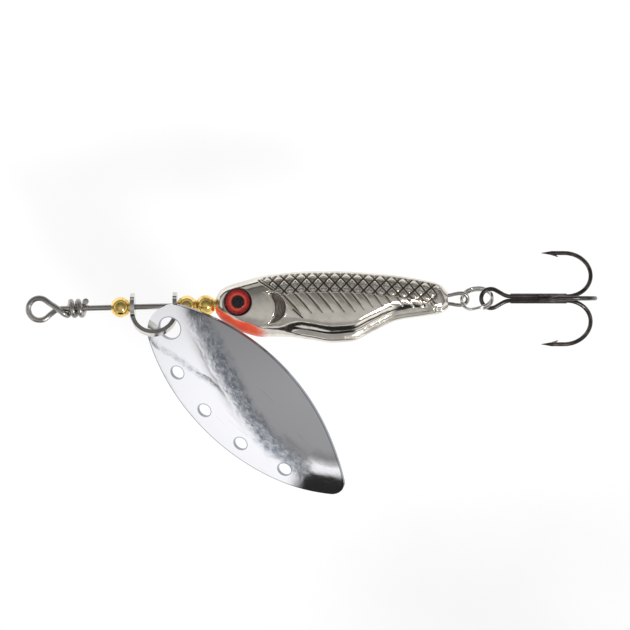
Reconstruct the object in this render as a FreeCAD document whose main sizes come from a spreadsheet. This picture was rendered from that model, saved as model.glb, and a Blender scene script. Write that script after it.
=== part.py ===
import FreeCAD, Part
import Sketcher
import math
import os
from FreeCAD import Placement, Rotation, Vector

# An inline spinner, lying on its side. Millimetres.
# The origin is the middle of the line eye, X runs along the shaft to the hook,
# Y is towards the fish's back and Z is up from the table.

SIZES = [
    # Main wire: line eye, wraps and shaft
    ("wire_dia", 0.9),
    ("eye_bend_rad", 1.71),
    ("eye_leg_angle", 50.0),
    ("eye_crossing", 3.1),
    ("wrap_first", 4.35),
    ("wrap_pitch", 1.12),
    ("wrap_turns", 2.5),
    ("wrap_clearance", 0.15),
    ("tag_length", 0.9),
    ("shaft_anchor", 12.0),
    # Beads
    ("bead_dia", 3.15),
    ("bead_flat", 1.42),
    ("bead_reach", 1.52),
    ("collar_dia", 1.9),
    ("running_fit", 0.06),
    ("stack_gap", 0.04),
    # Clevis
    ("clevis_width", 7.22),
    ("strip_thick", 0.64),
    ("strip_width", 1.25),
    ("ear_rad", 2.15),
    ("clevis_drop", 4.87),
    ("clevis_lean", 25.0),
    # Blade
    ("blade_hole_dia", 3.5),
    ("blade_front", 3.38),
    ("blade_reach", 36.6),
    ("blade_half_width", 8.77),
    ("blade_widest_share", 0.425),
    ("blade_thick", 0.55),
    ("blade_tip_rad", 2.0),
    ("blade_crown_rad", 45.0),
    ("blade_bow_rad", 230.0),
    ("blade_tip_bow_rad", 38.0),
    ("blade_tip_bow_length", 8.0),
    ("small_hole_dia", 2.1),
    ("small_hole_margin", 1.6),
    ("blade_hang", 44.0),
    ("blade_swing", 48.2),
    ("blade_pitch", -0.5),
    ("blade_roll", 26.0),
    ("blade_lift", 0.0),
    ("blade_slack", 0.2),
    # Casting
    ("nose_place", 27.4),
    ("body_length", 35.9),
    ("body_back", 4.9),
    ("body_belly", 6.35),
    ("body_half_thick", 3.25),
    ("socket_dia", 4.3),
    ("socket_along", 3.45),
    ("socket_up", 0.4),
    ("socket_level", 2.3),
    ("gill_rad", 2.46),
    ("gill_along", 8.35),
    ("gill_below", 0.6),
    ("gill_hollow_rad", 2.91),
    ("gill_hollow_step", 2.05),
    ("gill_level", 2.8),
    ("rib_count", 10),
    ("rib_along", 14.6),
    ("rib_up", 1.45),
    ("rib_drop", 0.06),
    ("rib_pitch", 1.75),
    ("rib_length", 3.9),
    ("rib_fade", 0.5),
    ("rib_width", 0.44),
    # Eyes
    ("iris_dia", 4.0),
    ("foil_thick", 0.15),
    ("lens_rim", 0.3),
    ("lens_height", 1.05),
    # Tail loop
    ("loop_wire_dia", 0.6),
    ("loop_end_rad", 1.02),
    ("loop_neck", 0.68),
    ("loop_neck_depth", 0.3),
    ("loop_reach", 2.1),
    ("loop_anchor", 4.5),
    ("loop_lean", 25.0),
    # Split ring
    ("ring_wire_dia", 0.45),
    ("ring_mean_dia", 4.8),
    ("ring_turn_gap", 0.06),
    ("ring_overlap", 1.8),
    ("ring_start", -62.0),
    ("ring_step_start", 292.0),
    ("ring_step_turn", 60.0),
    ("ring_set_back", 0.45),
    ("ring_lean", 49.0),
    ("ring_rise", 10.0),
    # Treble hook
    ("hook_wire_dia", 0.66),
    ("hook_eye_rad", 1.49),
    ("hook_eye_neck", 3.05),
    ("hook_hang", 0.2),
    ("hook_shank", 11.73),
    ("hook_bend_rad", 3.92),
    ("point_leg_length", 2.0),
    ("point_length", 1.6),
    ("point_end_rad", 0.03),
    ("barb_height", 0.36),
    ("barb_length", 1.4),
    ("third_start", 7.7),
    ("shank_gap", 0.01),
    ("braze_film", 0.12),
    ("braze_lead", 0.3),
    ("treble_yaw", 1.36),
]

# The casting's sections: place along the body, then the back, the belly and the
# half thickness there, each as a part of its greatest value.
SECTIONS = [
    (0.0, 0.24, 0.20, 0.34),
    (0.02, 0.46, 0.36, 0.60),
    (0.05, 0.59, 0.48, 0.76),
    (0.12, 0.74, 0.70, 0.92),
    (0.20, 0.88, 0.81, 0.99),
    (0.30, 0.96, 0.82, 1.0),
    (0.40, 1.0, 0.90, 1.0),
    (0.50, 0.99, 0.995, 0.98),
    (0.58, 0.96, 0.97, 0.92),
    (0.68, 0.89, 0.73, 0.84),
    (0.78, 0.80, 0.485, 0.74),
    (0.90, 0.635, 0.39, 0.62),
    (0.97, 0.48, 0.33, 0.52),
    (1.0, 0.24, 0.22, 0.36),
]
SECTION_POINTS = 16
SECTION_FULLNESS = 2.3
# The four small holes, as shares of the blade's reach. They follow its lower edge.
SMALL_HOLES = (0.157, 0.352, 0.56, 0.768)
# How far the blade's sheet and the frame that trims it reach past its outline.
SHEET_SPARE = 1.0
TRIM_SPARE = 5.0
# Where the wire crosses the shaft after the eye, as shares of the eye's and the wraps'
# radius, and its direction there.
EYE_STEPS = 6
RING_STEPS = 4
CROSSING_SIDE = 0.1
CROSSING_RISE = 0.92
CROSSING_WAY = (0.72, -0.69)
# The barb's root, depth, heel and half width, as shares of the point's and the wire's sizes.
BARB_ROOT = 0.25
BARB_SINK = 0.55
BARB_HEEL = 0.62
BARB_HALF = 0.35

doc = FreeCAD.newDocument("InlineSpinner")
sheet = doc.addObject("Spreadsheet::Sheet", "Sizes")
for row, (alias, value) in enumerate(SIZES, start=1):
    sheet.set(f"A{row}", alias)
    sheet.set(f"B{row}", str(value))
    sheet.setAlias(f"B{row}", alias)
doc.recompute()
size = {alias: float(getattr(sheet, alias)) for alias, _ in SIZES}


def bound(kind, name, **sizes):
    """A Part object whose properties follow expressions on the sheet."""
    item = doc.addObject(kind, name)
    for prop, text in sizes.items():
        item.setExpression(prop, text)
    return item


def feature(name, shape, placement=None):
    """A Part::Feature that holds a shape made here from the sheet's sizes."""
    item = doc.addObject("Part::Feature", name)
    item.Shape = shape
    if placement:
        item.Placement = placement
    return item


def body_plane(body, role):
    """One of a body's own origin planes."""
    return next(f for f in body.Origin.OriginFeatures if f.Role == role)


def sketch_on(body, role, name):
    """An empty sketch on one of a body's own origin planes."""
    sketch = body.newObject("Sketcher::SketchObject", name)
    sketch.AttachmentSupport = (body_plane(body, role), "")
    sketch.MapMode = "FlatFace"
    return sketch


def polygon(sketch, points):
    """A closed run of lines, joined end to end."""
    first = sketch.GeometryCount
    count = len(points)
    for i, start in enumerate(points):
        sketch.addGeometry(Part.LineSegment(start, points[(i + 1) % count]))
    for i in range(count):
        link = Sketcher.Constraint("Coincident", first + i, 2, first + (i + 1) % count, 1)
        sketch.addConstraint(link)


def arc_from(start, tangent, end):
    """The arc from start to end that leaves along the tangent, or a line if it is straight."""
    chord = end - start
    side = chord - tangent * chord.dot(tangent)
    if side.Length < 1e-6 * chord.Length:
        return Part.LineSegment(start, end)
    side.normalize()
    radius = chord.dot(chord) / (2 * chord.dot(side))
    centre = start + side * radius
    middle = (start + end) * 0.5 - centre
    middle.normalize()
    return Part.Arc(start, centre + middle * radius, end)


def biarc(start, leaving, end, arriving):
    """Two arcs that join two points and keep the direction at both."""
    chord = end - start
    both = leaving + arriving
    gap = 2 * (1 - leaving.dot(arriving))
    reach = chord.dot(both)
    if gap < 1e-9:
        step = chord.dot(chord) / (4 * chord.dot(leaving))
    else:
        step = (math.sqrt(reach**2 + gap * chord.dot(chord)) - reach) / gap
    meet = (start + end + (leaving - arriving) * step) * 0.5
    second = arc_from(end, arriving * -1, meet)
    return [arc_from(start, leaving, meet), second]


def wire_through(stations):
    """A smooth wire through stations, each a point and the direction there."""
    edges = []
    for (here, leaving), (there, arriving) in zip(stations, stations[1:]):
        chord = there - here
        straight = chord.Length - chord.dot(leaving) < 1e-9 and leaving.dot(arriving) > 1 - 1e-9
        pieces = [Part.LineSegment(here, there)] if straight else biarc(here, leaving, there, arriving)
        edges += [piece.toShape() for piece in pieces]
    return Part.Wire(Part.__sortEdges__(edges))


def tube(stations, diameter):
    """A round wire bent along the stations."""
    start, direction = stations[0]
    ring = Part.Wire(Part.makeCircle(diameter / 2, start, direction))
    shell = Part.BRepOffsetAPI.MakePipeShell(wire_through(stations))
    shell.add(ring)
    shell.build()
    shell.makeSolid()
    return shell.shape()


def turned(vector, axis, degrees):
    return Rotation(axis, degrees).multVec(vector)


def unit(x, y, z=0.0):
    vector = Vector(x, y, z)
    vector.normalize()
    return vector


def least_gap(points, diameter, skip):
    """The least gap between stretches of one wire that are further apart than skip along it."""
    best = 1e9
    for i, here in enumerate(points):
        for there in points[i + skip:]:
            best = min(best, here.distanceToPoint(there))
    return best - diameter


X, Y, Z = Vector(1, 0, 0), Vector(0, 1, 0), Vector(0, 0, 1)
ORIGIN = Vector(0, 0, 0)


# The main wire: from the anchored end to the eye, round it and back in wraps to the cut tag
def main_wire_stations():
    wrap_rad = size["wire_dia"] + size["wrap_clearance"]
    eye_rad = size["eye_bend_rad"]
    half_step = size["wire_dia"] / 2
    shaft_end = size["nose_place"] + size["shaft_anchor"]
    stations = [
        (Vector(shaft_end, 0, 0), X * -1),
        (Vector(size["eye_crossing"] + half_step, 0, 0), X * -1),
    ]
    # The eye is open by its leg's thickness, so its two legs cross without touching.
    first = -size["eye_leg_angle"]
    last = size["eye_leg_angle"] - 360
    for i in range(EYE_STEPS + 1):
        angle = math.radians(first + (last - first) * i / EYE_STEPS)
        lift = half_step * (2 * i / EYE_STEPS - 1)
        point = Vector(eye_rad * math.cos(angle), eye_rad * math.sin(angle), lift)
        rise = 2 * half_step / math.radians(first - last) / eye_rad
        stations.append((point, unit(math.sin(angle), -math.cos(angle), rise)))
    over = Vector(size["eye_crossing"], -CROSSING_SIDE * eye_rad, CROSSING_RISE * wrap_rad)
    stations.append((over, unit(*CROSSING_WAY)))
    lead = size["wrap_pitch"] / (2 * math.pi)
    steps = round(size["wrap_turns"] * 4)
    for i in range(steps + 1):
        turn = math.pi + i * math.pi / 2
        along = size["wrap_first"] + lead * (turn - math.pi)
        point = Vector(along, wrap_rad * math.cos(turn), wrap_rad * math.sin(turn))
        way = unit(lead, -wrap_rad * math.sin(turn), wrap_rad * math.cos(turn))
        stations.append((point, way))
    end, way = stations[-1]
    stations.append((end + way * size["tag_length"], way))
    return stations


def make_shaft_wire():
    stations = main_wire_stations()
    item = feature("ShaftWire", tube(stations, size["wire_dia"]))
    item.Label = "shaft_wire"
    line = wire_through(stations)
    points = line.discretize(Number=400)
    near = int(2.6 * size["wire_dia"] / line.Length * 400) + 1
    print("line eye wire: least gap to itself %.3f mm" % least_gap(points, size["wire_dia"], near))
    return item


# A hollow brass bead: a ball cut flat in front, with a short collar behind
def make_bead(label, centre):
    name = "".join(word.capitalize() for word in label.split("_"))
    ball = bound("Part::Sphere", name + "Ball", Radius="Sizes.bead_dia / 2")
    front = bound(
        "Part::Cylinder", name + "Front", Radius="Sizes.bead_dia / 2",
        Height="Sizes.bead_flat + Sizes.bead_reach",
    )
    front.Placement.Rotation = Rotation(Z, X)
    front.setExpression("Placement.Base.x", "-Sizes.bead_flat")
    cut_ball = doc.addObject("Part::MultiCommon", name + "Cut")
    cut_ball.Shapes = [ball, front]
    collar = bound(
        "Part::Cylinder", name + "Collar", Radius="Sizes.collar_dia / 2", Height="Sizes.bead_reach",
    )
    collar.Placement.Rotation = Rotation(Z, X)
    joined = doc.addObject("Part::MultiFuse", name + "Joined")
    joined.Shapes = [cut_ball, collar]
    bore = bound(
        "Part::Cylinder", name + "Bore", Radius="Sizes.wire_dia / 2 + Sizes.running_fit",
        Height="3 * Sizes.bead_dia",
    )
    bore.Placement.Rotation = Rotation(Z, X)
    bore.setExpression("Placement.Base.x", "-1.5 * Sizes.bead_dia")
    bead = doc.addObject("Part::Cut", name)
    bead.Base, bead.Tool = joined, bore
    bead.setExpression("Placement.Base.x", centre)
    bead.Label = label
    return bead


# Places along the shaft, from the nose forwards: each piece touches the next but for stack_gap
REAR_BEAD_2 = "Sizes.nose_place - Sizes.stack_gap - Sizes.bead_reach"
BEAD_STEP = "(Sizes.bead_flat + Sizes.bead_reach + Sizes.stack_gap)"
REAR_BEAD_1 = f"{REAR_BEAD_2} - {BEAD_STEP}"
CLEVIS_BACK = f"{REAR_BEAD_1} - Sizes.bead_flat - Sizes.stack_gap"
CLEVIS_MIDDLE = f"{CLEVIS_BACK} - Sizes.clevis_width / 2"
FRONT_BEAD = f"{CLEVIS_BACK} - Sizes.clevis_width - Sizes.stack_gap - Sizes.bead_reach"


# The clevis: two round ears on the shaft and a strip bent in a half circle below them
def make_clevis():
    legs = []
    for side, sign in (("Front", "-1"), ("Back", "1")):
        face = f"({sign} * Sizes.clevis_width / 2 - (1 + {sign}) / 2 * Sizes.strip_thick)"
        ear = bound("Part::Cylinder", "Ear" + side, Radius="Sizes.ear_rad", Height="Sizes.strip_thick")
        ear.Placement.Rotation = Rotation(Z, X)
        ear.setExpression("Placement.Base.x", face)
        leg = bound(
            "Part::Box", "Leg" + side, Length="Sizes.strip_thick",
            Width="Sizes.clevis_drop - Sizes.clevis_width / 2", Height="Sizes.strip_width",
        )
        leg.setExpression("Placement.Base.x", face)
        leg.setExpression("Placement.Base.y", "Sizes.clevis_width / 2 - Sizes.clevis_drop")
        leg.setExpression("Placement.Base.z", "-Sizes.strip_width / 2")
        legs += [ear, leg]
    outer = bound(
        "Part::Cylinder", "BowOuter", Radius="Sizes.clevis_width / 2", Height="Sizes.strip_width",
    )
    inner = bound(
        "Part::Cylinder", "BowInner", Radius="Sizes.clevis_width / 2 - Sizes.strip_thick",
        Height="Sizes.strip_width",
    )
    for half in (outer, inner):
        half.Angle = 180
        half.Placement.Rotation = Rotation(Z, 180)
        half.setExpression("Placement.Base.y", "Sizes.clevis_width / 2 - Sizes.clevis_drop")
        half.setExpression("Placement.Base.z", "-Sizes.strip_width / 2")
    bow = doc.addObject("Part::Cut", "Bow")
    bow.Base, bow.Tool = outer, inner
    joined = doc.addObject("Part::MultiFuse", "ClevisJoined")
    joined.Shapes = legs + [bow]
    joined.Refine = True
    bore = bound(
        "Part::Cylinder", "EarBore", Radius="Sizes.wire_dia / 2 + Sizes.running_fit",
        Height="2 * Sizes.clevis_width",
    )
    bore.Placement.Rotation = Rotation(Z, X)
    bore.setExpression("Placement.Base.x", "-Sizes.clevis_width")
    clevis = doc.addObject("Part::Cut", "Clevis")
    clevis.Base, clevis.Tool = joined, bore
    clevis.Placement.Rotation = Rotation(X, -size["clevis_lean"])
    clevis.setExpression("Placement.Base.x", CLEVIS_MIDDLE)
    clevis.Label = "clevis"
    return clevis


def blade_placement(middle):
    """The blade hangs by its hole a little outside the bow's middle line, swung, pitched and rolled."""
    lean = math.radians(size["clevis_lean"])
    hang = math.radians(size["blade_hang"])
    hole_rad = (size["clevis_width"] - size["strip_thick"]) / 2 + size["blade_slack"]
    drop = size["clevis_drop"] - size["clevis_width"] / 2 + hole_rad * math.sin(hang)
    along = middle + hole_rad * math.cos(hang)
    base = Vector(along, -drop * math.cos(lean), drop * math.sin(lean))
    pitched = Rotation(Y, size["blade_pitch"]) * Rotation(X, size["blade_roll"])
    turn = Rotation(Z, -size["blade_swing"]) * pitched
    return Placement(base + turn.multVec(Z) * size["blade_lift"], turn)


def blade_side():
    """The blade's widest place and the radius of a side arc, which touches the round at the tip."""
    half, tip_rad, reach = size["blade_half_width"], size["blade_tip_rad"], size["blade_reach"]
    widest = size["blade_widest_share"] * reach
    span = reach - tip_rad - widest
    return widest, (half**2 + span**2 - tip_rad**2) / (2 * (half - tip_rad))


def small_hole_place(share):
    """A small hole's middle, a margin inside the lower side arc."""
    along = share * size["blade_reach"]
    widest, radius = blade_side()
    edge = math.sqrt(radius**2 - (along - widest) ** 2) - radius + size["blade_half_width"]
    return Vector(along, size["small_hole_margin"] + size["small_hole_dia"] / 2 - edge, 0)


def blade_outline():
    """The leaf: two equal side arcs that touch a round at the lobe and a smaller one at the tip."""
    half, tip_rad = size["blade_half_width"], size["blade_tip_rad"]
    reach, front = size["blade_reach"], size["blade_front"]
    widest, radius = blade_side()
    sink = radius - half
    ahead = widest + front
    lobe_rad = (radius**2 - sink**2 - ahead**2) / (2 * (radius - ahead))

    def touch(centre, end_rad):
        """Where the upper side arc meets the round of an end."""
        way = unit(centre - widest, sink)
        return Vector(centre, 0, 0) + way * end_rad

    def over(point):
        return Vector(point.x, -point.y, 0)

    lobe = touch(lobe_rad - front, lobe_rad)
    tip = touch(reach - tip_rad, tip_rad)
    top = Vector(widest, half, 0)
    return [
        Part.Arc(over(lobe), Vector(-front, 0, 0), lobe),
        Part.Arc(lobe, top, tip),
        Part.Arc(tip, Vector(reach, 0, 0), over(tip)),
        Part.Arc(over(tip), over(top), over(lobe)),
    ]


# The blade: a crowned strip, bent more at its tip, cut to the leaf's outline and pierced
def make_blade(clevis):
    body = doc.addObject("PartDesign::Body", "Blade")
    start = -size["blade_front"] - SHEET_SPARE
    bend = size["blade_reach"] - size["blade_tip_bow_length"]
    spine = sketch_on(body, "XZ_Plane", "BladeSpine")
    rad = size["blade_bow_rad"]
    turn = math.asin((bend - start) / rad)
    long_end = Vector(bend, rad * math.cos(turn) - rad, 0)
    half_turn = Vector(start + rad * math.sin(turn / 2), rad * math.cos(turn / 2) - rad, 0)
    spine.addGeometry(Part.Arc(Vector(start, 0, 0), half_turn, long_end))
    tip_rad = size["blade_tip_bow_rad"]
    way = Vector(math.cos(turn), -math.sin(turn), 0)
    down = Vector(-math.sin(turn), -math.cos(turn), 0)
    centre = long_end + down * tip_rad
    more = (size["blade_tip_bow_length"] + SHEET_SPARE) / tip_rad
    halfway = centre - down * tip_rad * math.cos(more / 2) + way * tip_rad * math.sin(more / 2)
    far = centre - down * tip_rad * math.cos(more) + way * tip_rad * math.sin(more)
    spine.addGeometry(Part.Arc(long_end, halfway, far))
    spine.addConstraint(Sketcher.Constraint("Coincident", 0, 1, 1, 2))
    strip = sketch_on(body, "YZ_Plane", "BladeStrip")
    strip.AttachmentOffset = Placement(Vector(0, 0, start), Rotation())
    crown, thick = size["blade_crown_rad"], size["blade_thick"]
    spread = math.asin((size["blade_half_width"] + SHEET_SPARE) / crown)

    def rim(radius, angle):
        return Vector(radius * math.sin(angle), radius * math.cos(angle) - crown, 0)

    outer, inner = crown + thick / 2, crown - thick / 2
    strip.addGeometry(Part.Arc(rim(outer, -spread), rim(outer, 0), rim(outer, spread)))
    strip.addGeometry(Part.LineSegment(rim(outer, spread), rim(inner, spread)))
    strip.addGeometry(Part.Arc(rim(inner, spread), rim(inner, 0), rim(inner, -spread)))
    strip.addGeometry(Part.LineSegment(rim(inner, -spread), rim(outer, -spread)))
    pipe = body.newObject("PartDesign::AdditivePipe", "BladeSheet")
    pipe.Profile, pipe.Spine = strip, (spine, ["Edge1", "Edge2"])
    doc.recompute()
    sheet_volume = pipe.Shape.Volume
    outside = sketch_on(body, "XY_Plane", "BladeOutside")
    wide = size["blade_half_width"] + TRIM_SPARE
    near_end = -size["blade_front"] - TRIM_SPARE
    far_end = size["blade_reach"] + TRIM_SPARE
    polygon(outside, [
        Vector(near_end, -wide, 0),
        Vector(far_end, -wide, 0),
        Vector(far_end, wide, 0),
        Vector(near_end, wide, 0),
    ])
    for edge in blade_outline():
        outside.addGeometry(edge)
    trim = body.newObject("PartDesign::Pocket", "BladeTrim")
    trim.Profile, trim.Type, trim.Midplane = outside, "ThroughAll", True
    holes = sketch_on(body, "XY_Plane", "BladeHoles")
    holes.addGeometry(Part.Circle(ORIGIN, Z, size["blade_hole_dia"] / 2))
    for share in SMALL_HOLES:
        holes.addGeometry(Part.Circle(small_hole_place(share), Z, size["small_hole_dia"] / 2))
    for i in range(len(SMALL_HOLES) + 1):
        holes.addConstraint(Sketcher.Constraint("Diameter", i, 2.0))
        alias = "blade_hole_dia" if i == 0 else "small_hole_dia"
        holes.setExpression(f"Constraints[{i}]", f"Sizes.{alias}")
    pierce = body.newObject("PartDesign::Pocket", "BladePierce")
    pierce.Profile, pierce.Type, pierce.Midplane = holes, "ThroughAll", True
    doc.recompute()
    print("blade: sheet %.1f, trimmed %.1f, pierced %.1f mm3" % (
        sheet_volume, trim.Shape.Volume, pierce.Shape.Volume))
    body.Placement = blade_placement(clevis.Placement.Base.x)
    body.Label = "blade"
    return body


def section_at(part):
    """The casting's back, belly and half thickness at a place from 0, the nose, to 1, the tail."""
    for before, after in zip(SECTIONS, SECTIONS[1:]):
        if part <= after[0]:
            share = (part - before[0]) / (after[0] - before[0])
            back, belly, thick = (b + (a - b) * share for b, a in zip(before[1:], after[1:]))
            return back * size["body_back"], belly * size["body_belly"], thick * size["body_half_thick"]
    raise ValueError("a place along the body runs from 0 to 1")


def flank_level(along, up):
    """How far the flank stands out at a distance from the nose and above the shaft line."""
    back, belly, thick = section_at(along / size["body_length"])
    half = (back + belly) / 2
    share = min(abs(up - (back - belly) / 2) / half, 0.999)
    return thick * (1 - share**SECTION_FULLNESS) ** (1 / SECTION_FULLNESS)


def casting_blank():
    """A loft through full ovals, taller than they are thick."""
    wires = []
    for part, *_ in SECTIONS:
        back, belly, thick = section_at(part)
        points = []
        for i in range(SECTION_POINTS):
            angle = 2 * math.pi * i / SECTION_POINTS
            tall, wide = math.cos(angle), math.sin(angle)
            power = 2 / SECTION_FULLNESS
            up = math.copysign(abs(tall) ** power, tall) * (back + belly) / 2 + (back - belly) / 2
            out = math.copysign(abs(wide) ** power, wide) * thick
            points.append(Vector(size["nose_place"] + part * size["body_length"], up, out))
        curve = Part.BSplineCurve()
        curve.interpolate(points, PeriodicFlag=True)
        wires.append(Part.Wire(curve.toShape()))
    return Part.makeLoft(wires, True, False)


def rib_grooves(side):
    """Slanting grooves along one flank, shorter towards the tail."""
    grooves = []
    for i in range(int(size["rib_count"])):
        along = size["rib_along"] + i * size["rib_pitch"]
        fade = 1 - size["rib_fade"] * i / size["rib_count"]
        slope = size["rib_length"] * fade / math.sqrt(2)
        start_up = size["rib_up"] - size["rib_drop"] * i
        start = Vector(along, start_up, side * flank_level(along, start_up))
        end_up = start_up - slope
        end = Vector(along + slope, end_up, side * flank_level(along + slope, end_up))
        nose = Vector(size["nose_place"], 0, 0)
        way = end - start
        grooves.append(Part.makeCylinder(size["rib_width"] / 2, way.Length, start + nose, way))
    return grooves


def gill_recess(side):
    """A crescent, sunk to one level in the cheek."""
    level, tall = size["gill_level"], 2 * size["body_half_thick"]
    middle = Vector(size["nose_place"] + size["gill_along"], -size["gill_below"], side * level)
    outer = Part.makeCylinder(size["gill_rad"], tall, middle, Z * side)
    hollow = middle - X * size["gill_hollow_step"]
    return outer.cut(Part.makeCylinder(size["gill_hollow_rad"], tall, hollow, Z * side))


# The casting, with the wires cast in, the eye sockets, the gills and the ribs
def make_casting(shaft, loop):
    blank = feature("CastingBlank", casting_blank())
    tools = [shaft, loop]
    for side, name in ((1, "Upper"), (-1, "Lower")):
        socket = bound(
            "Part::Cylinder", "Socket" + name, Radius="Sizes.socket_dia / 2",
            Height="2 * Sizes.body_half_thick",
        )
        socket.Placement.Rotation = Rotation(Z, Z * side)
        socket.setExpression("Placement.Base.x", "Sizes.nose_place + Sizes.socket_along")
        socket.setExpression("Placement.Base.y", "Sizes.socket_up")
        socket.setExpression("Placement.Base.z", f"{side} * Sizes.socket_level")
        relief = gill_recess(side)
        for groove in rib_grooves(side):
            relief = relief.fuse(groove)
        tools += [socket, feature("Relief" + name, relief)]
    joined = doc.addObject("Part::MultiFuse", "CastingTools")
    joined.Shapes = tools
    casting = doc.addObject("Part::Cut", "Casting")
    casting.Base, casting.Tool = blank, joined
    casting.Label = "body_casting"
    return casting


# One eye: a flat foil disc on the socket's floor and a clear domed lens on it
def make_eye(side, word):
    along = "Sizes.nose_place + Sizes.socket_along"
    foil = bound(
        "Part::Cylinder", word + "Foil", Radius="Sizes.iris_dia / 2", Height="Sizes.foil_thick",
    )
    foil.Placement.Rotation = Rotation(Z, Z * side)
    foil.setExpression("Placement.Base.z", f"{side} * Sizes.socket_level")
    foil.Label = word.lower() + "_eye_foil"
    lens = doc.addObject("PartDesign::Body", word + "Lens")
    profile = sketch_on(lens, "XZ_Plane", word + "LensProfile")
    rad, rim, tall = size["iris_dia"] / 2, size["lens_rim"], size["lens_height"]
    dome = (rad**2 + (tall - rim) ** 2) / (2 * (tall - rim))
    lean = math.asin(rad / dome) / 2
    over = Vector(dome * math.sin(lean), tall - dome + dome * math.cos(lean), 0)
    profile.addGeometry(Part.LineSegment(Vector(0, 0, 0), Vector(rad, 0, 0)))
    profile.addGeometry(Part.LineSegment(Vector(rad, 0, 0), Vector(rad, rim, 0)))
    profile.addGeometry(Part.Arc(Vector(rad, rim, 0), over, Vector(0, tall, 0)))
    profile.addGeometry(Part.LineSegment(Vector(0, tall, 0), Vector(0, 0, 0)))
    spin = lens.newObject("PartDesign::Revolution", word + "LensDome")
    spin.Profile, spin.ReferenceAxis = profile, (profile, ["V_Axis"])
    spin.Angle = 360
    lens.Placement.Rotation = Rotation(Z, Z * side)
    lens.setExpression("Placement.Base.z", f"{side} * (Sizes.socket_level + Sizes.foil_thick)")
    lens.Label = word.lower() + "_eye_lens"
    for item in (foil, lens):
        item.setExpression("Placement.Base.x", along)
        item.setExpression("Placement.Base.y", "Sizes.socket_up")
    return [foil, lens]


def tail_place():
    return size["nose_place"] + size["body_length"]


def loop_centre():
    return tail_place() + size["loop_reach"]


# The tail loop: a hairpin of thinner wire, its legs cast in the tail
def make_tail_loop():
    up = Vector(0, math.cos(math.radians(size["loop_lean"])), math.sin(math.radians(size["loop_lean"])))
    end_rad, neck = size["loop_end_rad"], size["loop_neck"]
    centre, deep = loop_centre(), tail_place() - size["loop_anchor"]
    neck_at = tail_place() - size["loop_neck_depth"]

    def at(along, height):
        return X * along + up * height

    stations = [
        (at(deep, neck), X),
        (at(neck_at, neck), X),
        (at(centre, end_rad), X),
        (at(centre + end_rad, 0), up * -1),
        (at(centre, -end_rad), X * -1),
        (at(neck_at, -neck), X * -1),
        (at(deep, -neck), X * -1),
    ]
    item = feature("TailLoop", tube(stations, size["loop_wire_dia"]))
    item.Label = "tail_loop"
    return item


def ring_frame():
    """The split ring's place: it hangs in the tail loop and rises to the hook's eye."""
    inside = loop_centre() + size["loop_end_rad"] - size["loop_wire_dia"] / 2
    left = inside - size["ring_set_back"] - size["ring_wire_dia"] / 2
    rise = Rotation(Y, -size["ring_rise"])
    turn = rise * Rotation(X, -size["ring_lean"])
    centre = Vector(left, 0, 0) + turn.multVec(X) * (size["ring_mean_dia"] / 2)
    return Placement(centre, turn)


# The split ring: two flat turns of one wire, stepped over each other
def make_split_ring():
    radius = size["ring_mean_dia"] / 2
    step = size["ring_wire_dia"] + size["ring_turn_gap"]
    stations = []

    def station(degrees, level):
        angle = math.radians(size["ring_start"] + degrees)
        stations.append((
            Vector(radius * math.cos(angle), radius * math.sin(angle), level),
            Vector(-math.sin(angle), math.cos(angle), 0),
        ))

    last = 360 * size["ring_overlap"]
    landed = size["ring_step_start"] + size["ring_step_turn"]
    for i in range(RING_STEPS + 1):
        station(size["ring_step_start"] * i / RING_STEPS, -step / 2)
    for i in range(RING_STEPS + 1):
        station(landed + (last - landed) * i / RING_STEPS, step / 2)
    item = feature("SplitRing", tube(stations, size["ring_wire_dia"]), ring_frame())
    item.Label = "split_ring"
    line = wire_through(stations)
    points = line.discretize(Number=400)
    near = int(4 * size["ring_wire_dia"] / line.Length * 400) + 1
    print("split ring: least gap to itself %.3f mm" % least_gap(points, size["ring_wire_dia"], near))
    return item


def treble_placement():
    """The hook's eye hangs on the far side of the split ring."""
    ring = ring_frame()
    strand = ring.multVec(X * (size["ring_mean_dia"] / 2))
    return Placement(strand - X * size["hook_hang"], Rotation(Z, -size["treble_yaw"]))


HOOK_WAYS = {"first": -60.0, "second": 60.0, "third": 180.0}


def hook_way(name):
    """The direction in which a hook stands out from the shank."""
    return turned(Z * -1, X, HOOK_WAYS[name])


def shank_offset():
    """Three equal wires lie against each other round the shank's middle line."""
    return (size["hook_wire_dia"] + size["shank_gap"]) / math.sqrt(3)


def hook_arm(name, start):
    """Stations of a hook from its shank to the root of its point."""
    out = hook_way(name)
    bend, near = size["hook_bend_rad"], shank_offset()
    shank = X * size["hook_shank"]
    top = shank + out * (near + 2 * bend)
    return [
        (X * start + out * near, X),
        (shank + out * near, X),
        (shank + out * (near + bend) + X * bend, out),
        (top, X * -1),
        (top - X * size["point_leg_length"], X * -1),
    ]


def hook_point(name):
    """The tapered point and its barb, on the inside of the bend."""
    out = hook_way(name)
    radius = size["hook_wire_dia"] / 2
    top = X * size["hook_shank"] + out * (shank_offset() + 2 * size["hook_bend_rad"])
    root = top - X * size["point_leg_length"]
    point = Part.makeCone(radius, size["point_end_rad"], size["point_length"], root, X * -1)
    across = out.cross(X)
    base = root - X * (BARB_ROOT * size["point_length"]) - out * (BARB_SINK * radius)
    tip = base + X * size["barb_length"] - out * (size["barb_height"] + (1 - BARB_SINK) * radius)
    heel = base + X * (BARB_HEEL * size["barb_length"])
    half = across * (BARB_HALF * radius)
    face = Part.Face(Part.makePolygon([p - half for p in (base, tip, heel, base)]))
    return point.fuse(face.extrude(half * 2))


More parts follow.
